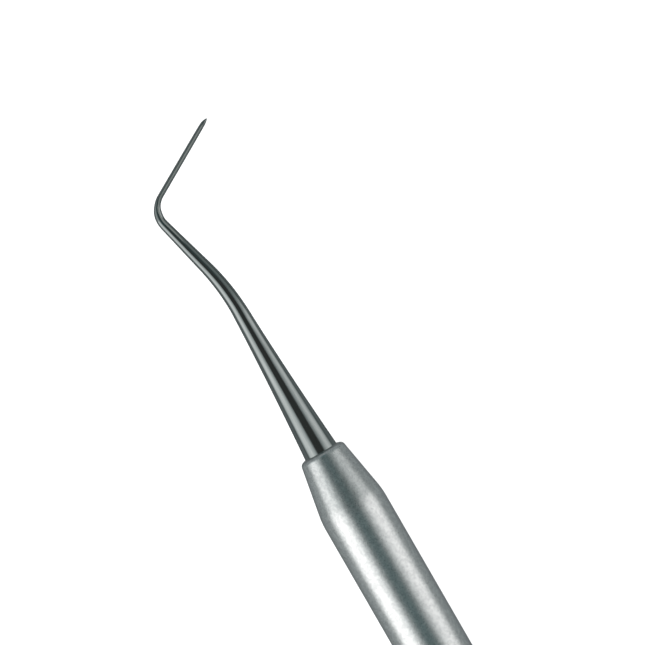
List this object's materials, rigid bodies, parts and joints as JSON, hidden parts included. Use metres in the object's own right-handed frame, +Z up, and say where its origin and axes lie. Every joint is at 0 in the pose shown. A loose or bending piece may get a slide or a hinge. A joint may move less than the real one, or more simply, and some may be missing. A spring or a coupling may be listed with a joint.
{
  "type": "dental explorer",
  "caption": "Dental explorer: round hollow handle with conical noses, a slim straight tine behind an elbow at the front end and a curved hook at the rear end.",
  "frame": {"origin": "on the handle's axis, at the middle of the handle's length", "axes": "+X along the handle towards the front working end, the straight tine; +Z up from the tray that the instrument lies on; both working ends lean to the -Y side"},
  "size_m": [0.1715, 0.0107, 0.008],
  "materials": {
    "satin_steel": "fine satin, blasted",
    "polished_steel": "ground and polished"
  },
  "bodies": {
    "root": {"handle_tube": "satin_steel", "front_nose": "satin_steel", "rear_nose": "satin_steel", "front_working_end": "polished_steel", "rear_working_end": "polished_steel"}
  },
  "joints": []
}
